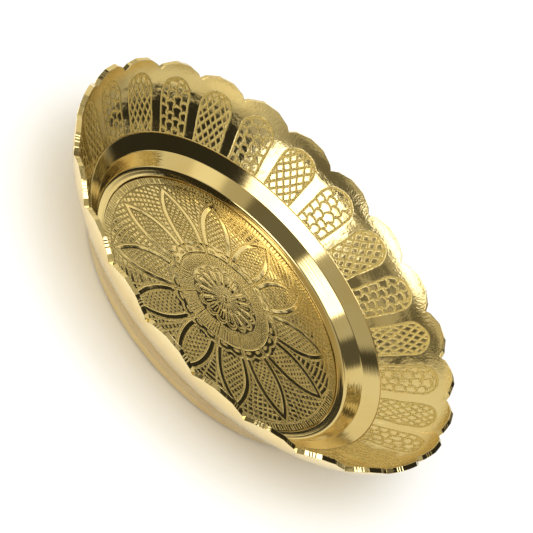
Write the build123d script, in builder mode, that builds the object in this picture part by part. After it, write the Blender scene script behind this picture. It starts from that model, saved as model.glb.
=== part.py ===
from build123d import *
from math import acos, cos, degrees, radians, sin, sqrt, tan
import os

# Small engraved brass tray, standing on its flat base.
# Millimetres. +Z is up, and the origin is the middle of the base, on the surface it stands on.
# Each turned piece is a section in the XZ plane, radius along X and height along Z, spun about Z.

# --- Driving dimensions -----------------------------------------------------

# Well: a turned dish with a flat floor, a steep wall and a sloping shoulder
floor_thickness = 1.0           # brass left under the medallion
base_flat_radius = 50.3         # where the flat underside starts to turn up
base_corner_radius = 3.0
outer_wall_angle = 55.0         # above the horizontal
wall_foot = (50.6, 2.8)         # inner foot of the wall: radius, height
wall_top = (53.3, 6.9)          # rounded edge between the wall and the shoulder
joint_edge = (58.2, 9.9)        # where the shoulder ends and the brim begins
cove_radius = 1.2               # inside corner at the foot of the wall
wall_top_radius = 1.8
lip_height = 0.25               # how far the lip stands above the medallion
lip_width = 0.9
groove_radius = 56.6            # fine line turned in the shoulder
groove_section_radius = 0.2

# Medallion: an embossed disc let into the floor
medallion_radius = 47.0
medallion_thickness = 0.8
medallion_gap = 0.12            # shadow line between the disc and the lip

# Brim: a flared sheet whose edge curls up and is cut into scallops
sheet_thickness = 1.6
flare_angle = 38.0              # slope of the straight part of the brim
curl_start_radius = 69.5        # where the brim starts to curl up
curl_radius = 14.0
rim_angle = 73.5                # slope of the sheet at a scallop's tip
scallop_count = 24
scallop_depth = 3.15
lobe_half_width = 10.4          # half the long axis of the ellipse that a lobe follows
notch_tilt = 22.0               # the scallops are cut square to the sheet, this far below level

# Lap joint: the brim's inner edge is thinned and sits in a step under the shoulder
lap_width = 1.3
lap_step_height = 0.95          # from the shoulder's top edge down to the step
lap_step_fall = 0.85            # the step falls this much towards its inner end

# Solder seam: a low bead run round the underside of the lap joint
seam_reach = 1.4                # how far it spreads each side of the joint
seam_height = 0.4

# --- Derived places ---------------------------------------------------------

floor_top = floor_thickness + medallion_thickness
recess_radius = medallion_radius + medallion_gap
lip_top = floor_top + lip_height
flare_slope = tan(radians(flare_angle))
wall_slope = tan(radians(outer_wall_angle))
shoulder_slope = (joint_edge[1] - wall_top[1]) / (joint_edge[0] - wall_top[0])

curl_start_height = joint_edge[1] + (curl_start_radius - joint_edge[0]) * flare_slope
curl_centre = (
    curl_start_radius - curl_radius * sin(radians(flare_angle)),
    curl_start_height + curl_radius * cos(radians(flare_angle)),
)
under_radius = curl_radius + sheet_thickness


def on_curl(radius, angle):
    """Point this far from the curl's centre, where the sheet slopes at this angle."""
    return (
        curl_centre[0] + radius * sin(radians(angle)),
        curl_centre[1] - radius * cos(radians(angle)),
    )


def underside(radius):
    """Height of the underside of the brim's straight part at a radius."""
    curl_start_under = on_curl(under_radius, flare_angle)
    return curl_start_under[1] + (radius - curl_start_under[0]) * flare_slope


tip = on_curl(curl_radius, rim_angle)

lap_radius = joint_edge[0] - lap_width
lap_outer = (joint_edge[0], joint_edge[1] - lap_step_height)
lap_inner = (lap_radius, lap_outer[1] - lap_step_fall)
lap_under = (lap_radius, underside(lap_radius))

# The base corner's arc runs until it is square to the outer wall, and the wall runs up to the
# line of the brim's underside, which it meets at the knee.
corner_end = (
    base_flat_radius + base_corner_radius * sin(radians(outer_wall_angle)),
    base_corner_radius * (1 - cos(radians(outer_wall_angle))),
)
knee_rise = underside(corner_end[0]) - corner_end[1]
knee_radius = corner_end[0] + knee_rise / (wall_slope - flare_slope)
knee = (knee_radius, underside(knee_radius))

# --- Well -------------------------------------------------------------------

with BuildPart() as well:
    with BuildSketch(Plane.XZ) as well_section:
        with BuildLine():
            Line((0, 0), (base_flat_radius, 0))
            CenterArc(
                (base_flat_radius, base_corner_radius), base_corner_radius, -90, outer_wall_angle
            )
            Polyline(
                corner_end, knee, lap_under, lap_inner, lap_outer, joint_edge, wall_top,
                wall_foot, (recess_radius + lip_width, lip_top), (recess_radius, lip_top),
                (recess_radius, floor_thickness), (0, floor_thickness), (0, 0),
            )
        make_face()
        fillet(well_section.vertices().sort_by_distance(wall_foot)[0], cove_radius)
        fillet(well_section.vertices().sort_by_distance(wall_top)[0], wall_top_radius)
        groove_height = wall_top[1] + (groove_radius - wall_top[0]) * shoulder_slope
        with Locations((groove_radius, groove_height)):
            Circle(groove_section_radius, mode=Mode.SUBTRACT)
    revolve(axis=Axis.Z)

# --- Medallion --------------------------------------------------------------

with BuildPart() as medallion:
    with BuildSketch(Plane.XY.offset(floor_thickness)):
        Circle(medallion_radius)
    extrude(amount=medallion_thickness)

# --- Brim -------------------------------------------------------------------

notch_step = 360 / scallop_count
half_step = radians(notch_step / 2)
half_chord = tip[0] * sin(half_step)

# The lobes' ellipse passes a tip at its top and a notch's bottom, one half chord away.
ellipse_fall = 1 - sqrt(1 - (half_chord / lobe_half_width) ** 2)
lobe_half_height = scallop_depth / ellipse_fall
notch_angle = degrees(acos(half_chord / lobe_half_width))
notch_depth = 5 * sheet_thickness   # the cutter passes right through the curled sheet
notch_clearance = 4.0               # and stands this far above the tips


def notch_plane(angle):
    """Plane of a notch's outline: X round the rim, Y up along the sheet, at the tips' level."""
    outward = Vector(cos(radians(angle)), sin(radians(angle)), 0)
    level = tip[0] * cos(half_step)
    through = outward * cos(radians(notch_tilt)) - Vector(0, 0, sin(radians(notch_tilt)))
    around = Vector(-sin(radians(angle)), cos(radians(angle)), 0)
    return Plane(origin=outward * level + Vector(0, 0, tip[1]), x_dir=around, z_dir=through)


with BuildPart() as brim:
    with BuildSketch(Plane.XZ):
        with BuildLine():
            Polyline(
                on_curl(under_radius, flare_angle), lap_under, lap_inner, lap_outer, joint_edge,
                on_curl(curl_radius, flare_angle),
            )
            CenterArc(
                curl_centre, curl_radius, flare_angle - 90, rim_angle - flare_angle
            )
            Line(tip, on_curl(under_radius, rim_angle))
            CenterArc(
                curl_centre, under_radius, flare_angle - 90, rim_angle - flare_angle
            )
        make_face()
    revolve(axis=Axis.Z)
    for index in range(scallop_count):
        with BuildSketch(notch_plane((index + 0.5) * notch_step)) as notch:
            with BuildLine():
                EllipticalCenterArc(
                    (half_chord, -lobe_half_height), lobe_half_width, lobe_half_height,
                    start_angle=90, arc_size=90 - notch_angle,
                )
                EllipticalCenterArc(
                    (-half_chord, -lobe_half_height), lobe_half_width, lobe_half_height,
                    start_angle=notch_angle, arc_size=90 - notch_angle,
                )
                Polyline(
                    (-half_chord, 0), (-half_chord, notch_clearance),
                    (half_chord, notch_clearance), (half_chord, 0),
                )
            make_face()
        extrude(amount=notch_depth, both=True, mode=Mode.SUBTRACT)

# --- Solder seam ------------------------------------------------------------

seam_inner_radius = knee[0] - seam_reach
seam_inner = (seam_inner_radius, knee[1] - seam_reach * wall_slope)
seam_outer_radius = lap_radius + seam_reach
seam_outer = (seam_outer_radius, underside(seam_outer_radius))
seam_chord = Vector(seam_outer) - Vector(seam_inner)
seam_crown = (Vector(seam_inner) + Vector(seam_outer)) / 2 + (
    seam_chord.normalized().rotate(Axis.Z, -90) * seam_height
)

with BuildPart() as solder_seam:
    with BuildSketch(Plane.XZ):
        with BuildLine():
            Polyline(seam_inner, knee, lap_under, seam_outer)
            ThreePointArc(seam_outer, seam_crown, seam_inner)
        make_face()
    revolve(axis=Axis.Z)

# --- Output -----------------------------------------------------------------

os.makedirs("parts", exist_ok=True)

well.part.label = "well"
medallion.part.label = "medallion"
brim.part.label = "brim"
solder_seam.part.label = "solder_seam"

export_step(well.part, "parts/well.step")
export_step(medallion.part, "parts/medallion.step")
export_step(brim.part, "parts/brim.step")
export_step(solder_seam.part, "parts/solder_seam.step")
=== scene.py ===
from math import atan2, cos, pi, radians, sin, sqrt, tan

import bmesh
import bpy
import numpy as np
from mathutils import Matrix, Vector


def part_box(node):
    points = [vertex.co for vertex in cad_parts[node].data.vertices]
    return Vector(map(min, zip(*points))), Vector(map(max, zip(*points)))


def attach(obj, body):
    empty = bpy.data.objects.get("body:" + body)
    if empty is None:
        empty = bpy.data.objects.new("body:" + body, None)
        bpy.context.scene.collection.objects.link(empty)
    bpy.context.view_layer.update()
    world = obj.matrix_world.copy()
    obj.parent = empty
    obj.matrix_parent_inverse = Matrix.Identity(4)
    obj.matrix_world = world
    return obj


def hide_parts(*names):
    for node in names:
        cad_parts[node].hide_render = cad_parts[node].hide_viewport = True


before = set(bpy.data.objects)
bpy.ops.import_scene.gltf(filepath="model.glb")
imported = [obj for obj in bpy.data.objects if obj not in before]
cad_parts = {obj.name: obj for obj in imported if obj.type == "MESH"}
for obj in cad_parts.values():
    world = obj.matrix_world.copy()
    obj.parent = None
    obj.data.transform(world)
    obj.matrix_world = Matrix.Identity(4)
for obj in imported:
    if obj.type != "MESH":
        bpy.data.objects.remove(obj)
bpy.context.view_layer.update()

# The looks of a small engraved brass tray. Shapes are worked out in millimetres and written to
# the meshes in metres. Radius and height are measured from the middle of the tray's base.

MM = 0.001

# --- Driving dimensions, as in the CAD model ---------------------------------

JOINT = (58.2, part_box("well")[1][2] / MM)     # the shoulder's edge, where the brim begins
FLOOR_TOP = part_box("medallion")[1][2] / MM
DISC_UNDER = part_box("medallion")[0][2] / MM
DISC_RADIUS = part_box("medallion")[1][0] / MM
DISC_GAP = 0.12

WALL_FOOT = (50.6, 2.8)
WALL_TOP = (53.3, 6.9)
LIP_WIDTH = 0.9
LIP_HEIGHT = 0.25
BASE_RADIUS = 50.3
BASE_CORNER = 3.0
WALL_ANGLE = radians(55.0)

SHEET = 1.6
FLARE = radians(38.0)
CURL_START = 69.5
CURL = 14.0
RIM_ANGLE = radians(73.5)
SCALLOPS = 24
SCALLOP_DEPTH = 3.15
LOBE_HALF_WIDTH = 10.4
NOTCH_TILT = radians(22.0)
LAP_WIDTH, LAP_STEP, LAP_FALL = 1.3, 0.95, 0.85

PITCH = 2 * pi / SCALLOPS
SHARP = radians(55.0)           # edges turning more than this stay sharp
MERGE = 1e-7                    # points this close are one, in metres
STRAIGHT = (CURL_START - JOINT[0]) / cos(FLARE)     # length of the brim's straight part
CURL_CENTRE = (
    CURL_START - CURL * sin(FLARE),
    JOINT[1] + STRAIGHT * sin(FLARE) + CURL * cos(FLARE),
)


# --- Numbers over arrays ------------------------------------------------------


def smooth(start, end, value):
    """0 before start, 1 past end, eased between; start may be the larger."""
    t = np.clip((value - start) / (end - start), 0, 1)
    return t * t * (3 - 2 * t)


def chance(index, seed):
    """A fixed number from -0.5 to 0.5 for each whole number."""
    return np.modf(np.abs(np.sin(index * 12.9898 + seed * 78.233) * 43758.5453))[0] - 0.5


def waver(x, y, length, seed):
    """Smooth wandering between about -1 and 1 that changes over this length."""
    draw = np.random.default_rng(seed)
    total = 0
    for _ in range(6):
        heading = draw.uniform(0, 2 * pi)
        stretch = 2 * pi / (length * draw.uniform(0.7, 1.6))
        total = total + np.sin(
            (x * cos(heading) + y * sin(heading)) * stretch + draw.uniform(0, 2 * pi)
        )
    return total / 3


# --- Meshes -------------------------------------------------------------------


def new_piece(name, mesh):
    """Puts a finished mesh in the scene, smooth all over but for its sharp edges."""
    piece = bpy.data.objects.new(name, mesh)
    bpy.context.scene.collection.objects.link(piece)
    mesh.shade_smooth()
    mesh.set_sharp_from_angle(angle=SHARP)
    return piece


def sheet_grid(name, columns, rows, place, marks=()):
    """A grid of columns by rows, put in place by place(across, along), both from 0 to 1.

    place gives an array of points in millimetres and one array for each name in marks.
    Meeting edges are merged, open ends are closed, and the faces point outwards.
    """
    bm = bmesh.new()
    bmesh.ops.create_grid(bm, x_segments=columns, y_segments=rows, size=0.5)
    mesh = bpy.data.meshes.new(name)
    bm.to_mesh(mesh)
    bm.free()
    flat = np.empty(len(mesh.vertices) * 3)
    mesh.vertices.foreach_get("co", flat)
    flat = flat.reshape(-1, 3)
    points, values = place(flat[:, 0] + 0.5, flat[:, 1] + 0.5)
    mesh.vertices.foreach_set("co", (points * MM).ravel())
    for mark, value in zip(marks, values):
        layer = mesh.attributes.new(mark, "FLOAT", "POINT")
        layer.data.foreach_set("value", np.ascontiguousarray(value, dtype=np.float32))
    bm = bmesh.new()
    bm.from_mesh(mesh)
    bmesh.ops.remove_doubles(bm, verts=bm.verts, dist=MERGE)
    open_edges = [edge for edge in bm.edges if edge.is_boundary]
    if open_edges:
        bmesh.ops.holes_fill(bm, edges=open_edges, sides=0)
    bmesh.ops.recalc_face_normals(bm, faces=bm.faces)
    bm.to_mesh(mesh)
    bm.free()
    return new_piece(name, mesh)


ARC_STEPS = 7
SUPPORT = 0.02                  # how far the points beside a round stand from it


def rounded(corners, radii):
    """Points of a closed outline with its corners rounded, and two points close to each round."""
    points = []
    count = len(corners)
    for index in range(count):
        corner = Vector(corners[index])
        before = (Vector(corners[index - 1]) - corner).normalized()
        after = (Vector(corners[(index + 1) % count]) - corner).normalized()
        radius = radii[index]
        if not radius:
            points.append(corner)
            continue
        half = before.angle(after) / 2
        reach = radius / tan(half)
        centre = corner + (before + after).normalized() * (radius / sin(half))
        start = corner + before * reach - centre
        end = corner + after * reach - centre
        points.append(corner + before * (reach + SUPPORT))
        for step in range(ARC_STEPS + 1):
            arm = start.lerp(end, step / ARC_STEPS).normalized() * radius
            points.append(centre + arm)
        points.append(corner + after * (reach + SUPPORT))
    return points


def lathe(name, outline, steps):
    """Spins a closed outline of radius and height points once round the tray's axis."""
    bm = bmesh.new()
    ring = [bm.verts.new((point[0] * MM, 0, point[1] * MM)) for point in outline]
    edges = [bm.edges.new((ring[i], ring[(i + 1) % len(ring)])) for i in range(len(ring))]
    bmesh.ops.spin(
        bm, geom=ring + edges, cent=(0, 0, 0), axis=(0, 0, 1), angle=2 * pi,
        steps=steps, use_merge=True, use_duplicate=False,
    )
    bmesh.ops.remove_doubles(bm, verts=bm.verts, dist=MERGE)
    bmesh.ops.recalc_face_normals(bm, faces=bm.faces)
    mesh = bpy.data.meshes.new(name)
    bm.to_mesh(mesh)
    bm.free()
    return new_piece(name, mesh)


# --- Shader nodes ---------------------------------------------------------------


class Signal:
    """A node's output, for use in arithmetic."""

    def __init__(self, nodes, socket):
        self.nodes = nodes
        self.socket = socket

    def join(self, operation, first, second):
        return self.nodes.add("ShaderNodeMath", {"operation": operation}, {0: first, 1: second})

    def __add__(self, other):
        return self.join("ADD", self, other)

    def __radd__(self, other):
        return self.join("ADD", other, self)

    def __sub__(self, other):
        return self.join("SUBTRACT", self, other)

    def __rsub__(self, other):
        return self.join("SUBTRACT", other, self)

    def __mul__(self, other):
        return self.join("MULTIPLY", self, other)

    def __rmul__(self, other):
        return self.join("MULTIPLY", other, self)

    def __truediv__(self, other):
        return self.join("DIVIDE", self, other)


class Nodes:
    """The node tree of one finish, or of the surroundings."""

    def __init__(self, owner):
        owner.use_nodes = True
        self.tree = owner.node_tree
        self.tree.nodes.clear()

    def add(self, kind, settings=None, inputs=None, output=0):
        """A node of this kind, set up and connected. Gives the output that is asked for."""
        node = self.tree.nodes.new(kind)
        for key, value in (settings or {}).items():
            setattr(node, key, value)
        for key, value in (inputs or {}).items():
            if isinstance(value, Signal):
                self.tree.links.new(value.socket, node.inputs[key])
            elif isinstance(node.inputs[key].default_value, float) or not hasattr(value, "__len__"):
                node.inputs[key].default_value = value
            else:
                needed = len(node.inputs[key].default_value)
                node.inputs[key].default_value = (*value, 1)[:needed]
        return Signal(self, node.outputs[output]) if node.outputs else node

    def place(self):
        """Where a point is on the tray, in metres."""
        return self.add("ShaderNodeTexCoord", output="Object")

    def noise(self, vector, scale, detail=3.0, roughness=0.5):
        return self.add(
            "ShaderNodeTexNoise", {},
            {"Vector": vector, "Scale": scale, "Detail": detail, "Roughness": roughness},
            output="Fac",
        )

    def lines(self, along, scale, detail=2.0):
        """Noise that changes along one coordinate alone."""
        return self.add(
            "ShaderNodeTexNoise", {"noise_dimensions": "1D"},
            {"W": along, "Scale": scale, "Detail": detail}, output="Fac",
        )

    def between(self, value, low, high, to_low=0.0, to_high=1.0):
        """Eases from to_low at low to to_high at high."""
        return self.add(
            "ShaderNodeMapRange", {"interpolation_type": "SMOOTHSTEP"},
            {"Value": value, "From Min": low, "From Max": high, "To Min": to_low, "To Max": to_high},
        )

    def blend(self, factor, first, second):
        """Colour blend: the first colour at 0, the second at 1."""
        return self.add(
            "ShaderNodeMix", {"data_type": "RGBA"}, {0: factor, 6: first, 7: second}, output=2
        )

    def mark(self, name):
        """One of the marks that a mesh carries, such as where it is cut."""
        return self.add("ShaderNodeAttribute", {"attribute_name": name}, output="Fac")

    def bump(self, height, distance, normal=None):
        inputs = {"Height": height, "Distance": distance, "Strength": 1.0}
        if normal is not None:
            inputs["Normal"] = normal
        return self.add("ShaderNodeBump", {}, inputs)

    def radius(self, place):
        flat = self.add(
            "ShaderNodeVectorMath", {"operation": "MULTIPLY"}, {0: place, 1: (1.0, 1.0, 0.0)}
        )
        return self.add("ShaderNodeVectorMath", {"operation": "LENGTH"}, {0: flat}, output="Value")

    def height(self, place):
        return self.add("ShaderNodeSeparateXYZ", {}, {0: place}, output="Z")

    def along_section(self, place):
        """Grows along the section of a turned piece, so noise of it makes rings."""
        return self.radius(place) + self.height(place) * 0.8

    def flat(self, x, y):
        return self.add("ShaderNodeCombineXYZ", {}, {"X": x, "Y": y})

    def metal(self, colour, roughness, normal=None):
        """The last step of a finish: bare metal."""
        inputs = {"Base Color": colour, "Metallic": 1.0, "Roughness": roughness}
        if normal is not None:
            inputs["Normal"] = normal
        shader = self.add("ShaderNodeBsdfPrincipled", {}, inputs)
        self.add("ShaderNodeOutputMaterial", {}, {"Surface": shader})


BRASS = (0.87, 0.73, 0.42)
BRASS_WARM = (0.84, 0.67, 0.34)
FRESH_CUT = (0.88, 0.70, 0.28)
# Painted shade: the dark brown laid into the disc's cut hollows and round its edge
SHADE_BROWN = (0.10, 0.065, 0.025)


def turned_brass():
    """Polished on the lathe: fine rings, faint staining, a few soft scratches."""
    finish = bpy.data.materials.new("turned_brass")
    nodes = Nodes(finish)
    place = nodes.place()
    along = nodes.along_section(place)
    fine = nodes.lines(along, 3300.0)
    broad = nodes.lines(along, 1300.0)
    stain = nodes.noise(place, 55.0, detail=5.0)
    scratch = nodes.noise(place, 900.0, detail=2.0)
    colour = nodes.blend(nodes.between(stain, 0.35, 0.75), BRASS, BRASS_WARM)
    roughness = 0.05 + fine * 0.03 + nodes.between(stain, 0.45, 0.8) * 0.03 + scratch * 0.02
    normal = nodes.bump(broad, 1.2e-5)
    normal = nodes.bump(fine, 4e-6, normal)
    nodes.metal(colour, roughness, normal)
    return finish


def engraved_brass():
    """Polished sheet with a circular grain; the cuts are bright and rough."""
    finish = bpy.data.materials.new("engraved_brass")
    nodes = Nodes(finish)
    place = nodes.place()
    cut = nodes.mark("cut")
    along = nodes.along_section(place)
    grain = nodes.lines(along, 2300.0)
    stain = nodes.noise(place, 70.0, detail=5.0)
    ripple = nodes.noise(place, 1500.0, detail=3.0, roughness=0.6)
    hammering = nodes.noise(place, 480.0, detail=2.0)
    chatter = nodes.noise(place, 2600.0, detail=2.0, roughness=0.7)
    ground = nodes.blend(nodes.between(stain, 0.35, 0.75), BRASS, BRASS_WARM)
    colour = nodes.blend(cut, ground, FRESH_CUT)
    roughness = 0.05 + grain * 0.03 + nodes.between(stain, 0.45, 0.8) * 0.05 + cut * 0.38
    normal = nodes.bump(grain, 2.5e-6)
    normal = nodes.bump(hammering, 7e-5, normal)
    # The curl was beaten over a form, so it is rougher than the straight part
    beaten = nodes.between(nodes.height(place), 0.0185, 0.0205, 1.0, 2.6)
    beaten = beaten * (1.0 - nodes.mark("edge"))
    normal = nodes.bump(ripple * beaten, 3.5e-5, normal)
    normal = nodes.bump(chatter * cut, 0.00045, normal)
    nodes.metal(colour, roughness, normal)
    return finish


def chased_brass():
    """Satin disc, cut all over, with painted shade darkening its hollows and its edge."""
    finish = bpy.data.materials.new("chased_brass")
    nodes = Nodes(finish)
    place = nodes.place()
    cut = nodes.mark("cut")
    hollow = nodes.mark("hollow")
    stain = nodes.noise(place, 60.0, detail=5.0)
    ripple = nodes.noise(place, 900.0, detail=3.0, roughness=0.6)
    chatter = nodes.noise(place, 2600.0, detail=2.0, roughness=0.7)
    ground = nodes.blend(nodes.between(stain, 0.3, 0.75), BRASS, BRASS_WARM)
    worn = nodes.blend(cut, ground, FRESH_CUT)
    # Painted shade: the colour goes towards dark brown in the hollows and at the disc's edge
    colour = nodes.blend(hollow, worn, SHADE_BROWN)
    roughness = 0.03 + cut * 0.36 + stain * 0.02
    normal = nodes.bump(ripple, 6e-6)
    normal = nodes.bump(chatter * cut, 0.00025, normal)
    nodes.metal(colour, roughness, normal)
    return finish


def solder():
    """Hard solder, filed smooth and dulled."""
    finish = bpy.data.materials.new("solder")
    nodes = Nodes(finish)
    place = nodes.place()
    ripple = nodes.noise(place, 420.0, detail=4.0)
    stain = nodes.noise(place, 90.0, detail=5.0)
    colour = nodes.blend(stain, (0.76, 0.64, 0.42), (0.62, 0.49, 0.28))
    nodes.metal(colour, 0.22 + stain * 0.2, nodes.bump(ripple, 0.00003))
    return finish


# --- Sections that the well, the brim and the seam share --------------------------

SHEET_BOW = radians(3.0)      # how far the sheet's slope strays from the straight
BOW_CENTRES = (6.2, 12.6)     # along the sheet: shallower round the first, steeper round the second
BOW_SPREAD = 2.6


def built_up(steps):
    """How much of a bow has built up this many spreads past its middle, from -1 to 1."""
    return np.tanh(1.2027 * steps)


def sheet_point(s, depth):
    """Radius, height and slope on the brim's sheet: s along its top from the joint, depth below."""
    angle = FLARE + np.maximum(s - STRAIGHT, 0) / CURL
    curled = s > STRAIGHT
    inner, outer = ((s - centre) / BOW_SPREAD for centre in BOW_CENTRES)
    bow = SHEET_BOW * (np.exp(-(outer**2)) - np.exp(-(inner**2)))
    lift = SHEET_BOW * BOW_SPREAD * sqrt(pi) / 2 * (built_up(outer) - built_up(inner))
    radius = np.where(
        curled,
        CURL_CENTRE[0] + (CURL + depth) * np.sin(angle),
        JOINT[0] + s * cos(FLARE) + depth * sin(FLARE),
    )
    height = np.where(
        curled,
        CURL_CENTRE[1] - (CURL + depth) * np.cos(angle),
        JOINT[1] + s * sin(FLARE) - depth * cos(FLARE),
    )
    radius = radius - lift * np.sin(angle)
    height = height + lift * np.cos(angle)
    return radius, height, angle + bow


def underside(radius):
    """Height of the brim's underside along its straight part."""
    start_radius = JOINT[0] + SHEET * sin(FLARE)
    return JOINT[1] - SHEET * cos(FLARE) + (radius - start_radius) * tan(FLARE)


LAP_RADIUS = JOINT[0] - LAP_WIDTH
LAP_OUTER = (JOINT[0], JOINT[1] - LAP_STEP)
LAP_INNER = (LAP_RADIUS, LAP_OUTER[1] - LAP_FALL)
LAP_UNDER = (LAP_RADIUS, float(underside(LAP_RADIUS)))
CORNER_END = (
    BASE_RADIUS + BASE_CORNER * sin(WALL_ANGLE), BASE_CORNER * (1 - cos(WALL_ANGLE))
)
KNEE_RADIUS = CORNER_END[0] + (underside(CORNER_END[0]) - CORNER_END[1]) / (
    tan(WALL_ANGLE) - tan(FLARE)
)
KNEE = (KNEE_RADIUS, float(underside(KNEE_RADIUS)))


# --- Well -------------------------------------------------------------------------

RING_FOOT_IN = 0.43           # the wall meets the ring this far inside the CAD's foot
RING_RISE = 0.10
UNDER_GROOVES = (15.0, 15.9, 38.0, 44.5)      # radii of the rings turned in the base
GROOVE_HALF, GROOVE_DEPTH = 0.12, 0.10
CENTRE_MARK = [(0.0, 0.35), (0.5, 0.35), (0.85, 0.0)]


def turned_well():
    """The well, spun from its section: base, outer wall, lap, shoulder, wall, ring, lip."""
    recess = DISC_RADIUS + DISC_GAP
    lip = FLOOR_TOP + LIP_HEIGHT
    ring_foot = (WALL_FOOT[0] - RING_FOOT_IN, lip + RING_RISE)
    corners = [
        (BASE_RADIUS + BASE_CORNER * tan(WALL_ANGLE / 2), 0.0),
        KNEE, LAP_UNDER, LAP_INNER, LAP_OUTER, JOINT,
    ]
    radii = [BASE_CORNER, 0.6, 0.0, 0.0, 0.0, 0.16]
    corners += [WALL_TOP, ring_foot, (recess + LIP_WIDTH, lip), (recess, lip), (recess, DISC_UNDER)]
    radii += [1.0, 1.2, 0.3, 0.10, 0.0]
    under = list(CENTRE_MARK)
    for groove in UNDER_GROOVES:
        under += [(groove - GROOVE_HALF, 0.0), (groove, GROOVE_DEPTH), (groove + GROOVE_HALF, 0.0)]
    outline = [Vector(point) for point in under] + rounded(corners, radii)
    outline.append(Vector((0.0, DISC_UNDER)))
    return lathe("turned_well", outline, 360)


# --- Brim -------------------------------------------------------------------------

TIP_RADIUS, TIP_HEIGHT, _ = (float(v) for v in sheet_point(
    np.float64(STRAIGHT + (RIM_ANGLE - FLARE) * CURL), 0.0
))
SHEET_LENGTH = STRAIGHT + (RIM_ANGLE - FLARE) * CURL
HALF_CHORD = TIP_RADIUS * sin(PITCH / 2)
LOBE_HALF_HEIGHT = SCALLOP_DEPTH / (1 - sqrt(1 - (HALF_CHORD / LOBE_HALF_WIDTH) ** 2))

TONGUE_WIDTH = 0.375          # half a tongue's width, as a share of the pitch
TONGUE_SHOULDER = 12.4        # where its sides start to round in, along the sheet
TONGUE_TIP = 18.3
PANEL_END = 18.9              # rows are close together up to here


def scalloped_edge(angle, depth):
    """Length along the sheet to the scalloped edge, at an angle round the tray."""
    valley = (np.floor(angle / PITCH) + 0.5) * PITCH
    off = angle - valley
    low = np.full_like(angle, 15.0)
    high = np.full_like(angle, SHEET_LENGTH + 1.0)
    for _ in range(40):
        middle = (low + high) / 2
        radius, height, _angle = sheet_point(middle, depth)
        across = np.abs(radius * np.sin(off))
        up = (radius * np.cos(off) - TIP_RADIUS * cos(PITCH / 2)) * sin(NOTCH_TILT) + (
            height - TIP_HEIGHT
        ) * cos(NOTCH_TILT)
        swing = np.clip((across - HALF_CHORD) / LOBE_HALF_WIDTH, -1, 1)
        limit = -LOBE_HALF_HEIGHT + LOBE_HALF_HEIGHT * np.sqrt(1 - swing**2)
        over = up > limit
        high = np.where(over, middle, high)
        low = np.where(over, low, middle)
    return np.minimum((low + high) / 2, SHEET_LENGTH)


def cut_lines(cuts, depth, burr=0.0):
    """Height and mark of several cuts: each is its distance, half width and strength.

    Burr is how far the metal is thrown up beside a cut, as a share of its depth.
    """
    strength, raised = 0, 0
    for distance, width, level in cuts:
        far = np.abs(distance)
        strength = np.maximum(strength, level * np.exp(-((far / width) ** 4)))
        raised = np.maximum(raised, level * np.exp(-(((far - 1.5 * width) / (0.5 * width)) ** 2)))
    height = -depth * strength + burr * depth * raised * (1 - strength)
    return height, np.clip(strength * 1.15, 0, 1)


def hatching(x, y, lean, pitch, seed, unsteady=0.16):
    """Distance to the nearest of a set of parallel hand-cut lines."""
    q = (-x * np.sin(lean) + y * np.cos(lean)) / pitch + 0.07 * waver(x, y, 9.0, seed)
    line = np.round(q)
    return (q - line - unsteady * chance(line, seed)) * pitch


def crosshatch_cuts(x, s, number):
    draw = np.random.default_rng(300 + number)
    across, along = draw.uniform(2.7, 3.3), draw.uniform(3.7, 4.3)
    lean = atan2(along, across)
    pitch = across * sin(lean)
    return [
        (hatching(x, s, lean + draw.uniform(-0.05, 0.05), pitch, 11 + number), 0.34, 0.95),
        (hatching(x, s, -lean + draw.uniform(-0.05, 0.05), pitch, 47 + number), 0.34, 0.95),
    ]


def scale_cuts(x, s, half_width, number):
    """Four columns of fish scales, each column half a row up from the last."""
    columns, row, crown = 4, 3.3, 1.0
    bulge = 0.12 * np.cos(2 * pi * s / row) * np.cos(pi * columns * (x / half_width + 1) / 2)
    across = (x / half_width + 1) * columns / 2 + 0.10 * waver(x, s, 5.0, 71 + number) + bulge
    column = np.clip(np.floor(across), 0, columns - 1)
    inside = (across - column) * 2 - 1
    side = np.clip(np.round(across), 1, columns - 1)
    upright = (across - side) * 2 * half_width / columns
    shift = 0.5 * (column % 2) + 0.2 * chance(column, 5 + number)
    q = (s - crown * (1 - inside**2)) / row + shift
    arch = np.round(q)
    arched = (q - arch - 0.3 * chance(arch * 7 + column, 13 + number)) * row * 0.85
    return [(upright, 0.33, 0.95), (arched, 0.33, 0.95)]


def tongue_relief(angle, s, radius):
    """Height and mark of the cut tongues at an angle round the tray and a length along it."""
    number = np.round(angle / PITCH)
    x = (angle - number * PITCH) * radius
    half = TONGUE_WIDTH * PITCH * radius
    rise = np.maximum(s - TONGUE_SHOULDER, 0) / (TONGUE_TIP - TONGUE_SHOULDER)
    ring = np.sqrt((x / half) ** 2 + rise**2) + 1e-6
    fall = np.sqrt((x / half**2) ** 2 + (rise / (TONGUE_TIP - TONGUE_SHOULDER)) ** 2) / ring
    fall = np.maximum(fall, 0.5 / half)
    outside = (ring - 1) / fall + 0.12 * waver(x + number * 40, s, 6.0, 9)
    height, mark = np.zeros_like(s), np.zeros_like(s)
    inside = smooth(-0.25, -0.6, outside)
    for which in np.unique(number):
        here = number == which
        if which % 2:
            cuts = crosshatch_cuts(x[here], s[here], int(which))
        else:
            cuts = scale_cuts(x[here], s[here], half[here], int(which))
        cuts = [(distance, width, level * inside[here]) for distance, width, level in cuts]
        cuts.append((outside[here] + 0.35, 0.38, 1.0))
        height[here], mark[here] = cut_lines(cuts, 0.14, 0.12)
    unsteady = 0.8 + 0.4 * waver(x + number * 31, s, 1.1, 21)
    start = smooth(0.15, 0.5, s)
    return height * unsteady * start, mark * start


def leave_flat(mesh, mark):
    """Faces whose corners all carry the mark keep hard edges, as filed metal does."""
    values = np.empty(len(mesh.vertices), dtype=np.float32)
    mesh.attributes[mark].data.foreach_get("value", values)
    for face in mesh.polygons:
        if all(values[corner] > 0.5 for corner in face.vertices):
            face.use_smooth = False


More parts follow.
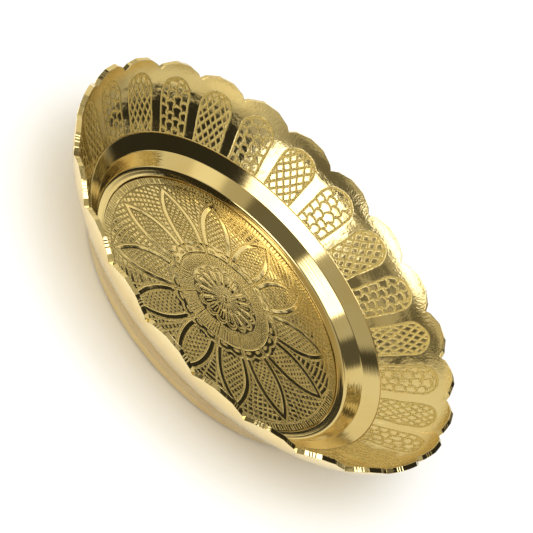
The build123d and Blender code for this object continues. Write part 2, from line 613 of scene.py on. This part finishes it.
SECTORS = 6
COLUMNS_PER_PITCH = 96
PANEL_ROWS, CURL_ROWS, EDGE_ROWS, UNDER_ROWS, LAP_ROWS = 112, 12, 10, 26, 6
EDGE_START = PANEL_ROWS + CURL_ROWS
UNDER_START = EDGE_START + EDGE_ROWS
LAP_START = UNDER_START + UNDER_ROWS
BRIM_ROWS = LAP_START + LAP_ROWS

PANEL_START = 0.05            # along the sheet, past the joint
ROUND_OFF = 0.13              # radius of the filed edge's two corners
FACETS = (0.0, 0.10, 0.36, 0.64, 0.90)        # where the filed flats meet, along one lobe
FILE_MARKS = (16, 20, 25, 69, 73, 78)         # in columns of one lobe
FILE_MARK_DEPTH = 0.06
FILING_STRAY = 0.24           # how unevenly the flats meet the underside


def facet_angles(first, last):
    """Angles of the corners of the flats that are filed along the scalloped edge."""
    angles = []
    start = first - PITCH
    while start < last + 2 * PITCH:
        lobe = round(start / PITCH - 0.5)
        for index, share in enumerate(FACETS):
            stray = 0.05 * float(chance(lobe * 10 + index, 3)) if index else 0.0
            angles.append(start + (share + stray) * PITCH)
        start += PITCH
    return np.array(angles)


def sheet_rows(row, top_end, under_end):
    """Length along the sheet and depth in it: the top, over the edge, and back under to the lap."""
    s, depth = np.zeros_like(row), np.zeros_like(row)
    part = row <= PANEL_ROWS
    s[part] = PANEL_START + row[part] / PANEL_ROWS * (PANEL_END - PANEL_START)

    part = (row > PANEL_ROWS) & (row <= EDGE_START)
    t = (row[part] - PANEL_ROWS) / CURL_ROWS
    s[part] = PANEL_END + t * (top_end[part] - ROUND_OFF - PANEL_END)

    part = (row > EDGE_START) & (row <= UNDER_START)
    t = (row[part] - EDGE_START) / EDGE_ROWS
    turn = np.clip(t / 0.3, 0, 1) * pi / 2
    middle = np.clip((t - 0.3) / 0.4, 0, 1)
    back = np.clip((t - 0.7) / 0.3, 0, 1) * pi / 2
    s[part] = (
        top_end[part] * (1 - t) + under_end[part] * t
        - ROUND_OFF * (1 - np.sin(turn)) - ROUND_OFF * (1 - np.cos(back))
    )
    depth[part] = (
        ROUND_OFF * (1 - np.cos(turn)) + (SHEET - 2 * ROUND_OFF) * middle
        + ROUND_OFF * np.sin(back)
    )

    part = (row > UNDER_START) & (row <= LAP_START)
    t = (row[part] - UNDER_START) / UNDER_ROWS
    lap_s = (LAP_UNDER[0] - JOINT[0] - SHEET * sin(FLARE)) / cos(FLARE)
    s[part] = (under_end[part] - ROUND_OFF) * (1 - t) + lap_s * t
    depth[part] = SHEET
    return s, depth


def lap_profile(t):
    """Radius and height from the sheet's underside round the lap, and up to the joint."""
    first_radius, first_height, _ = sheet_point(np.float64(PANEL_START), 0.0)
    stops = [0.0, 2 / 6, 4 / 6, 5 / 6, 1.0]
    radii = [LAP_UNDER[0], LAP_INNER[0], LAP_OUTER[0], JOINT[0] + 0.02, float(first_radius)]
    heights = [LAP_UNDER[1], LAP_INNER[1], LAP_OUTER[1], JOINT[1] - 0.12, float(first_height)]
    return np.interp(t, stops, radii), np.interp(t, stops, heights)


def brim_sector(number):
    """One sixth of the brim: its top with the cut tongues, its filed edge and its underside."""
    first = (number * SCALLOPS / SECTORS + 0.5) * PITCH
    last = first + 2 * pi / SECTORS
    corners = facet_angles(first, last)
    edge_in = scalloped_edge(corners, 0.0)
    edge_out = scalloped_edge(corners, SHEET)
    edge_out = edge_out + FILING_STRAY * chance(np.round(corners / PITCH * 20), 17)

    def put(across, along):
        angle = first + across * (last - first)
        row = np.round(along * BRIM_ROWS)
        top_end = np.interp(angle, corners, edge_in)
        under_end = np.minimum(np.interp(angle, corners, edge_out), SHEET_LENGTH)
        column = np.round(angle / PITCH * COLUMNS_PER_PITCH - 0.5 * COLUMNS_PER_PITCH)
        filed = FILE_MARK_DEPTH * np.isin(np.mod(column, COLUMNS_PER_PITCH), FILE_MARKS)
        s, depth = sheet_rows(row, top_end - filed, under_end - filed)
        radius, height, lean = sheet_point(s, depth)

        on_top = row <= EDGE_START
        relief, cut = tongue_relief(angle, s, radius)
        dish = 0.05 * waver(angle * 66, s, 14.0, 33) + 0.012 * waver(angle * 66, s, 4.0, 34)
        dish = dish * smooth(0.5, 3.0, s) * smooth(SHEET_LENGTH, PANEL_END, s)
        relief = np.where(on_top, relief + dish, 0)
        cut = np.where(on_top, cut, 0)
        radius = radius - relief * np.sin(lean)
        height = height + relief * np.cos(lean)

        lap = row > LAP_START
        radius[lap], height[lap] = lap_profile((row[lap] - LAP_START) / LAP_ROWS)
        edge = ((row >= EDGE_START + 3) & (row <= UNDER_START - 3)).astype(float)
        points = np.stack([radius * np.cos(angle), radius * np.sin(angle), height], axis=-1)
        return points, (cut, edge)

    columns = COLUMNS_PER_PITCH * SCALLOPS // SECTORS
    piece = sheet_grid(f"brim_part_{number + 1}", columns, BRIM_ROWS, put, ("cut", "edge"))
    leave_flat(piece.data, "edge")
    return piece


# --- Medallion ----------------------------------------------------------------------

LEAVES = 12
LEAF_STEP = 2 * pi / LEAVES
LEAF_TURN = radians(8.0)
LEAF_START, LEAF_END = 21.4, 43.2
LEAF_BAND = 1.9
FLOWER_EDGE, ROSETTE_EDGE = 12.6, 22.0        # the disc is drawn as a round, a ring and quarters
PATTERN_EDGE = 43.9
FLOWER_SHIFT = (-0.3, 2.0)    # the pattern was set out by hand, a little off the middle
PETALS, RAYS, STROKES, PUNCHES = 16, 26, 112, 232


def flower(a, r, px, py):
    """Height and cuts of the small flower: looped petals with ribs, round a punched dot."""
    petal = 2 * pi / PETALS
    petal_off = a - np.round(a / petal) * petal
    petal_end = 9.4 + 2.7 * np.sqrt(np.clip(1 - (petal_off / (petal / 2)) ** 2, 0, 1))
    in_flower = smooth(0.2, -0.3, r - petal_end)
    side_line = (np.abs(petal_off) - petal / 2) * r
    rib_line = (np.abs(petal_off) - petal / 6) * r
    ray_q = a / (2 * pi) * RAYS + 0.10 * waver(px, py, 5.0, 60)
    ray = (ray_q - np.round(ray_q)) * 2 * pi * r / RAYS
    height = 0.015 * in_flower * smooth(5.0, 7.0, r) * np.cos(petal_off / petal * pi)
    height += 0.16 * smooth(0.95, 0.5, r)
    return height, [
        (ray, 0.12, 0.95 * smooth(1.9, 2.6, r) * smooth(6.6, 6.0, r)),
        (side_line, 0.17, smooth(4.4, 5.4, r) * smooth(10.6, 9.6, r)),
        (rib_line, 0.12, 0.9 * smooth(6.6, 7.2, r) * smooth(9.8, 9.2, r)),
        (r - petal_end, 0.20, 1.0),
        (r - petal_end + 1.15, 0.14, 0.9 * smooth(0.3, 0.7, -side_line)),
        (r - 1.15, 0.18, 1.0),
    ]


def stroke_ring(a, r, px, py, gap_off, between_dividers):
    """Cuts of the ring of short radial strokes, with a pair of dividing lines in each gap."""
    stroke_q = (a - LEAF_TURN) / (2 * pi) * STROKES + 0.2 * waver(px, py, 6.0, 64)
    stroke = (stroke_q - np.round(stroke_q)) * 2 * pi * r / STROKES
    in_ring = smooth(12.9, 13.4, r) * smooth(17.4, 16.9, r) * between_dividers
    divider = np.abs(np.abs(gap_off) * r - 0.5)
    return [
        (stroke, 0.17, in_ring),
        (divider, 0.18, smooth(12.6, 13.2, r) * smooth(22.6, 21.6, r)),
    ]


def paired_ovals(r, off, between_dividers):
    """Height and cuts of the band of paired ovals, one pair under each leaf."""
    lift = np.abs(np.cos(off / LEAF_STEP * 2 * pi))
    band_out = 20.4 + 0.9 * (1 - lift**3)
    height = 0.06 * smooth(17.9, 18.3, r) * smooth(band_out, band_out - 0.4, r) * between_dividers
    oval_x = (np.abs(off) - LEAF_STEP / 4.2) * r
    oval = np.sqrt((oval_x / 1.25) ** 2 + ((r - 19.2) / 0.5) ** 2)
    return height, [
        (r - 17.8, 0.20, 1.0),
        (r - band_out, 0.24, between_dividers),
        (np.maximum(oval - 0.5, 0) * 0.6, 0.20, 0.9),
    ]


def leaf_outline(r, off, leaf):
    """Distance outside the nearest leaf's edge."""
    t = np.clip((r - LEAF_START) / (LEAF_END - LEAF_START), 0, 1.2)
    t_in = np.clip(t, 0, 1)
    stretch = 1 + 0.08 * chance(leaf, 31)
    lean = 0.09 * chance(leaf, 32) * t
    half = (5.3 + 4.6 * t_in) * (1 - t_in**2.2) * stretch
    side = np.abs(off - lean) * r - half
    side = np.where(t < 1, side, np.hypot(side, (t - 1) * (LEAF_END - LEAF_START)))
    return side * (0.98 - 0.22 * t_in)


def leaves(r, off, leaf, side, on_leaf):
    """Height and cuts of the leaves: a plain raised band round a crosshatched middle."""
    band = smooth(0.1, -0.4, side) * smooth(-LEAF_BAND - 0.1, -LEAF_BAND + 0.4, side)
    cuts = [
        (side - 0.10, 0.23, on_leaf),
        (side + LEAF_BAND + 0.10, 0.18, on_leaf * smooth(41.0, 39.5, r)),
    ]
    filled = smooth(-LEAF_BAND - 0.2, -LEAF_BAND - 0.5, side) * on_leaf * smooth(22.2, 22.7, r)
    leaf_x = off * r + leaf * 23
    for turn, seed in ((0.62, 41), (-0.70, 42)):
        direction = turn + 0.35 * chance(leaf, seed)
        cuts.append((hatching(leaf_x, r, direction, 1.5, seed), 0.18, filled * 0.95))
    return 0.05 * band * on_leaf, cuts


def ground(r, gap, gap_off, side, on_leaf):
    """Cuts behind and between the leaves: hatched one way, most of them both ways."""
    behind = smooth(0.6, 0.9, side) * on_leaf * smooth(PATTERN_EDGE, 43.5, r)
    gap_x = gap_off * r + gap * 17
    one_way = hatching(gap_x, r, 0.3 + 0.7 * chance(gap, 51), 1.75, 52)
    other_way = hatching(gap_x, r, -1.1 + 0.5 * chance(gap, 53), 1.95, 54)
    both = 0.9 * (chance(gap, 55) > -0.25)
    stem = np.abs(np.abs(gap_off) * r - (r - 25.0) * 0.20)
    return [
        (one_way, 0.19, behind * 0.95),
        (other_way, 0.17, behind * both),
        (stem, 0.18, behind * smooth(27.0, 29.0, r) * (1 - both)),
    ]


def punched_border(x, y, r_disc):
    """Cuts of the border of punched strokes and the line inside it."""
    punch_q = np.arctan2(y, x) / (2 * pi) * PUNCHES + 0.25 * waver(x, y, 12.0, 65)
    punch = np.round(punch_q)
    punch_x = (punch_q - punch - 0.25 * chance(punch, 72)) * 2 * pi * r_disc / PUNCHES
    inner_end = 44.4 + 0.9 * chance(punch, 71)
    on_punch = smooth(inner_end - 0.2, inner_end + 0.3, r_disc) * smooth(46.6, 46.2, r_disc)
    return [(punch_x, 0.24, on_punch), (r_disc - PATTERN_EDGE, 0.17, 0.7)]


def left_by_polishing(x, y, px, py):
    """Share of the cutting that years of polishing have left, less in three rubbed places."""
    worn = np.exp(-(((px - 8) / 10) ** 2) - ((py - 40) / 9) ** 2)
    worn = worn + 0.4 * np.exp(-(((px - 30) / 8) ** 2) - ((py - 28) / 9) ** 2)
    worn = worn + 0.6 * np.exp(-(((px + 20) / 8) ** 2) - ((py - 36) / 6) ** 2)
    return np.clip(1 - 0.85 * worn + 0.15 * waver(x, y, 5.0, 69), 0.08, 1)


def medallion_relief(x, y):
    """Height and marks of the chased pattern over the disc, with painted shade for its hollows and
    its edge.
    """
    r_disc = np.hypot(x, y)
    off_centre = 0.3 * smooth(44.0, 25.0, r_disc) + 0.7 * smooth(17.0, 11.0, r_disc)
    px = x - FLOWER_SHIFT[0] * off_centre + 0.22 * waver(x, y, 18.0, 61)
    py = y - FLOWER_SHIFT[1] * off_centre + 0.22 * waver(x, y, 17.0, 62)
    r = np.hypot(px, py) + 1e-6
    a = np.arctan2(py, px)
    leaf = np.round((a - LEAF_TURN) / LEAF_STEP)
    off = a - LEAF_TURN - leaf * LEAF_STEP
    gap = np.floor((a - LEAF_TURN) / LEAF_STEP)
    gap_off = a - LEAF_TURN - (gap + 0.5) * LEAF_STEP
    leaf, gap = leaf % LEAVES, gap % LEAVES
    between_dividers = smooth(0.55, 0.75, np.abs(gap_off) * r)
    side = leaf_outline(r, off, leaf)
    on_leaf = smooth(LEAF_START - 0.2, LEAF_START + 0.3, r)

    height, cuts = flower(a, r, px, py)
    cuts += stroke_ring(a, r, px, py, gap_off, between_dividers)
    for raised, more in (
        paired_ovals(r, off, between_dividers),
        leaves(r, off, leaf, side, on_leaf),
    ):
        height = height + raised
        cuts += more
    cuts += ground(r, gap, gap_off, side, on_leaf)
    left = left_by_polishing(x, y, px, py) * (r_disc < PATTERN_EDGE)
    cuts = [(distance, width, level * left) for distance, width, level in cuts]
    cuts += punched_border(x, y, r_disc)

    carved, mark = cut_lines(cuts, 0.13)
    # Painted shade: darker deep in the cuts and on the disc's edge where it drops into the gap
    hollow = np.clip(mark - 0.55, 0, 1) * (0.10 + 0.20 * waver(x, y, 8.0, 66))
    hollow = np.clip(hollow, 0, 0.6) + 0.5 * smooth(46.5, 46.9, r_disc)
    unsteady = 0.9 + 0.25 * waver(x, y, 1.3, 67)
    hammered = 0.006 * waver(x, y, 6.0, 68) + 0.02 * waver(x, y, 22.0, 70)
    edge = smooth(DISC_RADIUS - 0.35, DISC_RADIUS, r_disc)
    total = height + carved * unsteady + hammered * (1 - edge) - 0.35 * edge - 0.12
    return total, mark, hollow


def medallion_part(name, first, last, inner, outer, columns, rows):
    """Part of the disc between two angles and two radii, with its flat back."""
    edge_rows, back_rows = 3, 8
    total = rows + edge_rows + back_rows + edge_rows

    def put(across, along):
        angle = first + across * (last - first)
        row = np.round(along * total)
        t = np.clip(row / rows, 0, 1)
        radius = inner + t * (outer - inner)
        back = np.clip((row - rows - edge_rows) / back_rows, 0, 1)
        radius = np.where(row > rows + edge_rows, outer + back * (inner - outer), radius)
        x, y = radius * np.cos(angle), radius * np.sin(angle)
        # The third mark is painted shade for the disc's hollows and edge
        relief, cut, hollow = medallion_relief(x, y)
        top = FLOOR_TOP + relief
        down = np.clip((row - rows) / edge_rows, 0, 1)
        up = np.clip((row - rows - edge_rows - back_rows) / edge_rows, 0, 1)
        height = top + (DISC_UNDER - top) * down + (top - DISC_UNDER) * up
        return np.stack([x, y, height], axis=-1), (cut, hollow)

    return sheet_grid(name, columns, total, put, ("cut", "hollow"))


# --- Solder seam ----------------------------------------------------------------------

SEAM_REACH, SEAM_HEIGHT = 1.4, 0.4


def solder_bead():
    """The low bead under the lap joint, a little uneven all round."""
    inner = Vector((KNEE[0] - SEAM_REACH, KNEE[1] - SEAM_REACH * tan(WALL_ANGLE)))
    outer_radius = LAP_RADIUS + SEAM_REACH
    outer = Vector((outer_radius, float(underside(outer_radius))))
    steps = 14

    def put(across, along):
        angle = across * 2 * pi
        row = np.round(along * (steps + 3))
        t = np.clip(row / steps, 0, 1)
        proud = SEAM_HEIGHT * 0.95 * (1 - (2 * t - 1) ** 2)
        proud = proud * (0.93 + 0.07 * waver(angle * 57, t * 2, 4.0, 81))
        chord = (outer - inner).normalized()
        radius = inner.x + (outer.x - inner.x) * t + chord.y * proud
        height = inner.y + (outer.y - inner.y) * t - chord.x * proud
        back_t = np.clip((row - steps) / 3, 0, 1)
        path_r = [outer.x, LAP_UNDER[0], KNEE[0], inner.x]
        path_h = [outer.y, LAP_UNDER[1], KNEE[1], inner.y]
        back = row > steps
        radius = np.where(back, np.interp(back_t * 3, range(4), path_r), radius)
        height = np.where(back, np.interp(back_t * 3, range(4), path_h), height)
        return np.stack([radius * np.cos(angle), radius * np.sin(angle), height], axis=-1), ()

    return sheet_grid("solder_bead", 480, steps + 3, put)


# --- Assembly -------------------------------------------------------------------------


def dress(piece, finish, node):
    """Gives a piece its finish, hangs it on the root body and hides the CAD node that it stands for.
    """
    piece.data.materials.append(finish)
    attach(piece, "root")
    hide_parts(node)


dress(turned_well(), turned_brass(), "well")

sheet_finish = engraved_brass()
for sector in range(SECTORS):
    dress(brim_sector(sector), sheet_finish, "brim")

disc_finish = chased_brass()
QUARTER = pi / 2
disc_parts = [
    ("medallion_flower", 0, 2 * pi, 0.0, FLOWER_EDGE, 600, 100),
    ("medallion_ring", 0, 2 * pi, FLOWER_EDGE, ROSETTE_EDGE, 840, 76),
]
for quarter in range(4):
    start = quarter * QUARTER
    name = f"medallion_leaves_{quarter + 1}"
    disc_parts.append((name, start, start + QUARTER, ROSETTE_EDGE, DISC_RADIUS, 420, 160))
for disc_part in disc_parts:
    dress(medallion_part(*disc_part), disc_finish, "medallion")

dress(solder_bead(), solder(), "solder_seam")

# --- Studio ---------------------------------------------------------------------------


def floor():
    """A wide pale floor."""
    bm = bmesh.new()
    bmesh.ops.create_grid(bm, x_segments=1, y_segments=1, size=6.0)
    mesh = bpy.data.meshes.new("studio_floor")
    bm.to_mesh(mesh)
    bm.free()
    sweep = bpy.data.objects.new("studio_floor", mesh)
    bpy.context.scene.collection.objects.link(sweep)
    paint = bpy.data.materials.new("pale_floor")
    nodes = Nodes(paint)
    shader = nodes.add(
        "ShaderNodeBsdfPrincipled", {},
        {"Base Color": (0.95, 0.95, 0.95), "Roughness": 0.9, "Specular IOR Level": 0.0},
    )
    nodes.add("ShaderNodeOutputMaterial", {}, {"Surface": shader})
    mesh.materials.append(paint)


def surroundings():
    """A studio of soft panels: bright overhead and to the sides, dark screens between them."""
    world = bpy.data.worlds.new("studio")
    bpy.context.scene.world = world
    nodes = Nodes(world)
    heading = nodes.add("ShaderNodeTexCoord", output="Generated")
    x, y, z = (
        nodes.add("ShaderNodeSeparateXYZ", {}, {0: heading}, output=axis) for axis in "XYZ"
    )

    def bearing(east, north):
        """Degrees round from north."""
        return nodes.add("ShaderNodeMath", {"operation": "ARCTAN2"}, {0: east, 1: north}) * (180 / pi)

    turn = bearing(x, y)
    back_turn = bearing(x * -1, y * -1)
    rise = nodes.add("ShaderNodeMath", {"operation": "ARCSINE"}, {0: z}) * (180 / pi)

    def panel(light, value, around, left, right, low, high, soft=3.0, over=None):
        """The light with one soft-edged panel of this value set in it; angles in degrees."""
        above = rise if over is None else over
        mask = (
            nodes.between(around, left - soft, left + soft)
            * nodes.between(around, right + soft, right - soft)
            * nodes.between(above, low - soft, low + soft)
            * nodes.between(rise, high + soft, high - soft)
        )
        return light + (value - light) * mask

    light = nodes.between(rise, -20.0, 60.0, 0.60, 0.45)
    # The edge between the left panel and the right screen leans, where the disc mirrors it
    leaning = nodes.between(rise, 25.0, 27.0) * nodes.between(rise, 35.0, 33.0)
    aside = turn + ((rise - 30.0) * 2.27 + 0.3) * leaning
    # Left: a wide light panel, then a dark screen with a slit of light over it
    light = panel(light, 0.80, aside, -78.0, -0.8, 1.0, 42.0, 1.0)
    light = panel(light, 1.00, aside, -12.0, -0.8, 22.0, 40.0, 1.0)
    light = panel(light, 0.10, turn, -100.0, -79.0, 15.0, 52.0)
    light = panel(light, 0.12, turn, -112.0, -67.0, 34.0, 51.0)
    light = panel(light, 0.06, turn, -82.0, -42.0, 44.0, 51.0, 2.0)
    light = panel(light, 0.16, turn, -128.0, -88.0, 58.0, 74.0)
    # Right: a dark screen whose foot rises to the side, and light beneath it
    light = panel(light, 0.72, turn, 44.0, 116.0, 6.0, 42.0)
    light = panel(light, 0.52, turn, 44.0, 116.0, -14.0, 6.0)
    light = panel(light, 0.95, turn, 90.0, 114.0, 6.0, 32.0)
    slant = rise - (turn - 30.0) * 0.64
    light = panel(light, 0.028, aside, -0.2, 92.0, 15.0, 68.0, 1.0, over=slant)
    light = panel(light, 0.30, turn, 1.0, 44.0, -14.0, 12.0)
    # Behind the camera, measured from straight behind it
    light = panel(light, 0.16, back_turn, -42.0, 13.0, 20.0, 66.0)
    light = panel(light, 0.06, back_turn, 2.0, 50.0, 44.0, 52.0)
    light = panel(light, 3.0, back_turn, 15.0, 62.0, 13.5, 38.5, 2.0)
    # Round softbox overhead, a little to the right and behind
    from_middle = nodes.add(
        "ShaderNodeVectorMath", {"operation": "DISTANCE"},
        {0: nodes.flat(x / z, y / z), 1: (0.15, -0.13, 0.0)}, output="Value",
    )
    overhead = nodes.between(from_middle, 0.33, 0.30) * nodes.between(z, 0.0, 0.05)
    light = light + (3.2 - light) * overhead
    seen = nodes.add("ShaderNodeLightPath", output="Is Camera Ray")
    lit = nodes.add("ShaderNodeLightPath", output="Is Diffuse Ray")
    plain = nodes.add("ShaderNodeMath", {"operation": "MAXIMUM"}, {0: seen, 1: lit})
    tint = nodes.blend(nodes.between(light, 0.9, 2.5), (1.0, 0.91, 0.61), (1.0, 0.97, 0.84))
    tint = nodes.blend(plain, tint, (1.0, 1.0, 1.0))
    strength = light + (1.0 - light) * plain - lit * 0.22
    background = nodes.add("ShaderNodeBackground", {}, {"Color": tint, "Strength": strength})
    nodes.add("ShaderNodeOutputWorld", {}, {"Surface": background})


def lamp(name, place, aim, size, power):
    """A round soft lamp that isn't mirrored in the metal."""
    data = bpy.data.lights.new(name, "AREA")
    data.shape = "DISK"
    data.size = size
    data.energy = power
    light = bpy.data.objects.new(name, data)
    light.location = place
    light.rotation_euler = (Vector(aim) - Vector(place)).to_track_quat("-Z", "Y").to_euler()
    light.visible_glossy = False
    bpy.context.scene.collection.objects.link(light)


def camera():
    """Looks down at the tray from in front, tipped over to one side."""
    elevation, roll = radians(28.853), radians(49.359)
    distance, aside, raised = 0.69798, 0.00052, 0.01679
    back = Vector((0, -cos(elevation), sin(elevation)))
    right = Vector((1, 0, 0))
    up = Vector((0, sin(elevation), cos(elevation)))
    tipped_right = right * cos(roll) + up * sin(roll)
    tipped_up = up * cos(roll) - right * sin(roll)
    data = bpy.data.cameras.new("camera")
    data.lens = 154.69
    data.sensor_width = 36.0
    data.clip_start = 0.05
    view = bpy.data.objects.new("camera", data)
    place = back * distance + right * aside + up * raised + Vector((0, 0, FLOOR_TOP * MM))
    turn = Matrix((tipped_right, tipped_up, back)).transposed()
    view.matrix_world = Matrix.Translation(place) @ turn.to_4x4()
    bpy.context.scene.collection.objects.link(view)
    bpy.context.scene.camera = view


floor()
surroundings()
lamp("overhead", (0.0, 0.1, 1.2), (0.0, 0.0, 0.0), 1.2, 3.0)
lamp("fill", (0.0, -1.2, 0.95), (0.0, 0.0, 0.0), 1.5, 9.0)
camera()
bpy.context.scene.view_settings.view_transform = "Standard"
